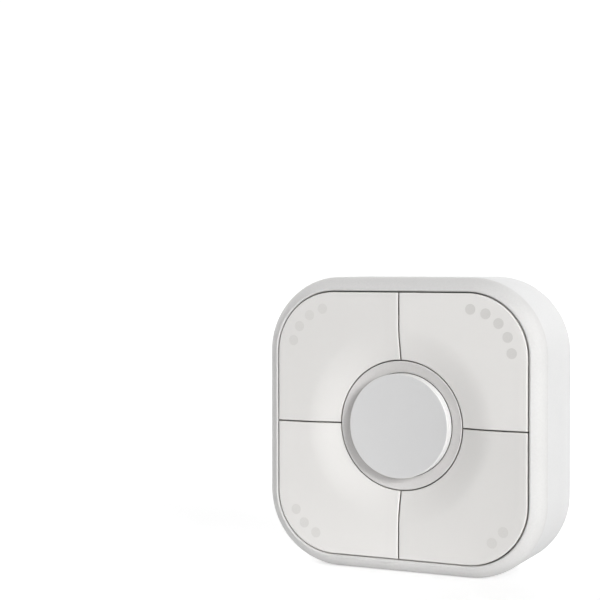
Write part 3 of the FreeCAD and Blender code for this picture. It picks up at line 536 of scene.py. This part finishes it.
FINISHES = {
    "frame": material("frame_white_textured", (0.745, 0.739, 0.732), 0.62, grain=0.06,
                      grain_size=0.55),
    "ring": material("ring_white_textured", (0.73, 0.717, 0.709), 0.6, grain=0.04, grain_size=0.5),
    # Painted shade: a darker colour on the deep walls of the gaps, where little light reaches, and a
    # lighter painted copy for walls that face up or outward
    "gap": material("gap_wall_painted_shade", (0.46, 0.43, 0.41), 0.6, grain=0.01),
    "painted_light_gap": material("gap_wall_painted_light", (0.78, 0.76, 0.74), 0.6, grain=0.01),
    # Painted shade: near black on the narrow walls round the button, where shadow falls
    "slot": material("slot_wall_painted_shade", (0.12, 0.11, 0.105), 0.6, grain=0.01),
    "shell": material("shell_white", (0.79, 0.79, 0.79), 0.48, grain=0.008, grain_size=0.35),
    "dot": material("count_dot_pale", (0.78, 0.765, 0.745), 0.46, grain=0.004, grain_size=0.3),
    # Painted shade: two darker copies of the pale dot colour, given to the dots of some key quarters like
    # the keys' painted light
    "dot_painted_shade": material("count_dot_painted_shade", (0.745, 0.73, 0.71), 0.46, grain=0.004, grain_size=0.3),
    "dot_painted_dark": material("count_dot_painted_dark", (0.735, 0.72, 0.70), 0.46, grain=0.004, grain_size=0.3),
    "button": material("button_satin_silver", (0.83, 0.83, 0.832), 0.38, grain=0.003, grain_size=0.2,
                       mottle=0.012, metallic=0.35),
    "side": material("button_side_white", (0.84, 0.835, 0.83), 0.4, grain=0.003, grain_size=0.2,
                     mottle=0.01),
    "deck": material("deck_grey", (0.16, 0.155, 0.15), 0.6, grain=0.02),
    "board": material("board_green", (0.02, 0.13, 0.06), 0.35, grain=0.01, grain_size=1.2,
                      mottle=0.1),
    "module": material("module_green", (0.015, 0.09, 0.05), 0.35, grain=0.01, grain_size=1.2,
                       mottle=0.1),
    "switch": material("switch_black", (0.03, 0.03, 0.032), 0.5, grain=0.01),
    "plunger": material("plunger_grey", (0.35, 0.34, 0.33), 0.5, grain=0.01),
    "tin": material("shield_tin", (0.62, 0.62, 0.60), 0.3, grain=0.004, metallic=1.0),
    "sleeve": material("cell_sleeve_blue", (0.05, 0.16, 0.32), 0.35, grain=0.003, mottle=0.06),
    "spring": material("spring_steel", (0.60, 0.59, 0.56), 0.28, grain=0.003, metallic=1.0),
    "screw": material("screw_zinc", (0.58, 0.58, 0.60), 0.3, grain=0.006, metallic=1.0),
    "magnet": material("magnet_nickel", (0.64, 0.63, 0.60), 0.22, grain=0.003, metallic=1.0),
}
KEY_WHITE = (0.84, 0.826, 0.808)
# Painted light: each key quarter gets a lighter or darker copy of the one key white, standing in for
# light that falls unevenly across the keys
KEY_PAINTED_LIGHT = {"upper_left": 0.995, "upper_right": 1.035, "lower_left": 1.02, "lower_right": 0.96}
# Painted shade: which copy of the dot colour each quarter's dots get
KEY_DOT_PAINTED_SHADES = {"upper_left": "dot", "upper_right": "dot_painted_dark", "lower_left": "dot", "lower_right": "dot_painted_shade"}
for quarter, shade in KEY_PAINTED_LIGHT.items():
    white = tuple(c * shade for c in KEY_WHITE)
    FINISHES[quarter] = material(f"key_white_painted_light_{quarter}", white, 0.42, grain=0.004, grain_size=0.3,
                                 mottle=0.01)

# Finishes of the CAD nodes that stay
NODE_FINISH = {
    "rear_shell": "shell", "wall_plate": "shell", "key_deck": "deck", "main_board": "board",
    "radio_module": "module", "radio_shield": "tin", "battery_cell_upper": "sleeve",
    "battery_cell_lower": "sleeve", "contact_positive": "spring", "contact_negative": "spring",
    "contact_bridge": "spring", "deck_screws": "screw", "magnets": "magnet", "steel_keepers": "screw",
}
for name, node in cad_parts.items():
    finish = NODE_FINISH.get(name)
    if name.startswith("switch_base"):
        finish = "switch"
    elif name.startswith("switch_plunger"):
        finish = "plunger"
    if finish:
        node.data.materials.clear()
        node.data.materials.append(FINISHES[finish])


# Pieces

def replace(node):
    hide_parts(node)


Face = namedtuple("Face", "radius depth slope inward up")


def second_finish(piece, finish, chosen):
    """Give the faces that are chosen by their place and direction another finish.

    Slope is how much a face looks to the front or back, inward how much it looks at the middle's
    line, and up how much it looks up.
    """
    piece.data.materials.append(FINISHES[finish])
    number = len(piece.data.materials) - 1
    for polygon in piece.data.polygons:
        x, z = polygon.center.x / MM, polygon.center.z / MM - MIDDLE_Z
        radius = math.hypot(x, z)
        inward = -(polygon.normal.x * x + polygon.normal.z * z) / radius
        depth = polygon.center.y / MM - KEY_Y
        if chosen(Face(radius, depth, abs(polygon.normal.y), inward, polygon.normal.z)):
            polygon.material_index = number


front = object_from("frame_front", bezel_mesh(), "housing", FINISHES["frame"])
# Painted shade on the frame's deep window walls, lighter where they face up
second_finish(front, "gap", lambda f: f.depth > FRAME_SHADE_START and f.inward > FACES_IN)
second_finish(front, "painted_light_gap", lambda f: (
    f.depth > FRAME_SHADE_START and f.inward > FACES_IN and f.up > FACES_UP))
replace("front_bezel")

ring = object_from("ring_textured", ring_mesh(), "housing", FINISHES["ring"])
# Painted shade on the ring's outer wall
second_finish(ring, "gap", lambda f: f.slope < WALL_SLOPE and f.radius > RING_OUTSIDE - NEARBY)
# Painted shade, near black, on the ring's bore wall
second_finish(ring, "slot", lambda f: f.slope < WALL_SLOPE and f.radius < RING_BORE + NEARBY)
replace("centre_ring")

button = object_from("button_silver", button_mesh(), "centre_button", FINISHES["button"])
second_finish(button, "side", lambda f: f.radius > BUTTON - BUTTON_ROUND)
# Painted shade, near black, on the button's side deep in the ring
second_finish(button, "slot", lambda f: (
    f.radius > BUTTON - BUTTON_ROUND and f.depth > RING_BORE_DEPTH - NEARBY))
replace("centre_button")

for quarter, (side_x, side_z) in QUARTERS.items():
    body = f"key_{quarter}"
    cap = object_from(f"cap_{quarter}", key_mesh(side_x, side_z), body, FINISHES[quarter])
    # Painted shade on the key's deep skirt walls, lighter where they face outward
    second_finish(cap, "gap", lambda f: f.slope < WALL_SLOPE and f.depth > KEY_SHADE_START)
    second_finish(cap, "painted_light_gap", lambda f: (
        f.slope < WALL_SLOPE and f.depth > KEY_SHADE_START and f.inward < FACES_OUT))
    replace(body)
    dots = dots_mesh(side_x, side_z, DOTS[quarter])
    object_from(f"dots_{quarter}", dots, body, FINISHES[KEY_DOT_PAINTED_SHADES[quarter]])


# Floor, light and camera, in metres

FLOOR_SIZE = 6.0
FLOOR_Y = 1.0
FLOOR_SEEN = 0.5  # brightness that the camera sees on top of the room's light
FLOOR_GLOW = 0.36  # brightness that lights the object from below, strongest in front of it
GLOW_Y = -0.025
GLOW_HALF_X = 0.09
GLOW_HALF_Y = 0.05
ROOM_SEEN = 1.05
# Azimuth, elevation, how tight it is and strength
ROOM_GLOWS = [
    (60, 20, 60, 24.0),
    (0, 12, 4, 0.87),
    (100, 0, 6, 0.45),
    (-110, 20, 10, 3.9),
    (180, 15, 8, 1.8),
    (180, 55, 6, 0.45),
    (-140, 10, 6, 0.4),
]
CAMERA_SPOT = (152.798, -374.853, 44.171)  # in millimetres, as the pieces' places
CAMERA_TURN = (88.552, 0.051, 25.912)
CAMERA_LENS = 90.34
CAMERA_SENSOR = 36.0


def floor():
    """Pale floor with a soft glow in front of the object, which the camera sees as plain white."""
    bpy.ops.mesh.primitive_plane_add(size=FLOOR_SIZE, location=(0, FLOOR_Y, 0))
    plane = bpy.context.object
    plane.name = "pale_floor"
    finish = material("floor_white", (0.7, 0.7, 0.7), 0.7, mottle=0.005)
    tree = finish.node_tree
    shader = tree.nodes["Principled BSDF"]
    shader.inputs["Emission Color"].default_value = (1, 1, 1, 1)
    path = tree.nodes.new("ShaderNodeLightPath")
    place = tree.nodes.new("ShaderNodeTexCoord")
    oval = tree.nodes.new("ShaderNodeMapping")
    oval.inputs["Location"].default_value = (0, (FLOOR_Y - GLOW_Y) / GLOW_HALF_Y, 0)
    oval.inputs["Scale"].default_value = (1 / GLOW_HALF_X, 1 / GLOW_HALF_Y, 1)
    fall = tree.nodes.new("ShaderNodeTexGradient")
    fall.gradient_type = "QUADRATIC_SPHERE"
    tree.links.new(place.outputs["Object"], oval.inputs["Vector"])
    tree.links.new(oval.outputs["Vector"], fall.inputs["Vector"])
    near = tree.nodes.new("ShaderNodeMath")
    near.operation = "MULTIPLY"
    near.inputs[1].default_value = FLOOR_GLOW
    rest = tree.nodes.new("ShaderNodeMath")
    rest.operation = "SUBTRACT"
    rest.inputs[0].default_value = FLOOR_SEEN
    glow = tree.nodes.new("ShaderNodeMath")
    glow.operation = "MULTIPLY_ADD"
    tree.links.new(fall.outputs["Fac"], near.inputs[0])
    tree.links.new(near.outputs["Value"], rest.inputs[1])
    tree.links.new(path.outputs["Is Camera Ray"], glow.inputs[0])
    tree.links.new(rest.outputs["Value"], glow.inputs[1])
    tree.links.new(near.outputs["Value"], glow.inputs[2])
    tree.links.new(glow.outputs["Value"], shader.inputs["Emission Strength"])
    plane.data.materials.append(finish)


def toward(azimuth, elevation):
    """Direction from the object. Azimuth 0 is in front of it and 90 to its right."""
    a, e = math.radians(azimuth), math.radians(elevation)
    return Vector((math.sin(a) * math.cos(e), -math.cos(a) * math.cos(e), math.sin(e)))


def surroundings():
    """Room with broad soft lights on its walls, and the plain background that the camera sees."""
    world = bpy.data.worlds.new("white_room")
    world.use_nodes = True
    tree = world.node_tree
    background = tree.nodes["Background"]
    background.inputs["Color"].default_value = (1, 1, 1, 1)
    place = tree.nodes.new("ShaderNodeTexCoord")

    def work_out(operation, *values):
        node = tree.nodes.new("ShaderNodeMath")
        node.operation = operation
        for socket, value in zip(node.inputs, values):
            if isinstance(value, float):
                socket.default_value = value
            else:
                tree.links.new(value, socket)
        return node.outputs["Value"]

    total = 0.0
    for azimuth, elevation, tightness, strength in ROOM_GLOWS:
        facing = tree.nodes.new("ShaderNodeVectorMath")
        facing.operation = "DOT_PRODUCT"
        facing.inputs[1].default_value = toward(azimuth, elevation)
        tree.links.new(place.outputs["Generated"], facing.inputs[0])
        lit = work_out("MAXIMUM", facing.outputs["Value"], 0.0)
        glow = work_out("POWER", lit, float(tightness))
        total = work_out("MULTIPLY_ADD", glow, strength, total)
    path = tree.nodes.new("ShaderNodeLightPath")
    camera_ray = path.outputs["Is Camera Ray"]
    hidden = work_out("SUBTRACT", 1.0, camera_ray)
    shown = work_out("MULTIPLY", camera_ray, ROOM_SEEN)
    tree.links.new(work_out("MULTIPLY_ADD", hidden, total, shown), background.inputs["Strength"])
    bpy.context.scene.world = world


def look():
    """Camera at the photograph's place, with a long lens."""
    data = bpy.data.cameras.new("camera")
    data.sensor_width = CAMERA_SENSOR
    data.lens = CAMERA_LENS
    camera = bpy.data.objects.new("camera", data)
    camera.location = spot(*CAMERA_SPOT)
    camera.rotation_euler = Euler([math.radians(a) for a in CAMERA_TURN], "XYZ")
    bpy.context.scene.collection.objects.link(camera)
    bpy.context.scene.camera = camera


floor()
surroundings()
bpy.context.scene.view_settings.view_transform = "Standard"
look()
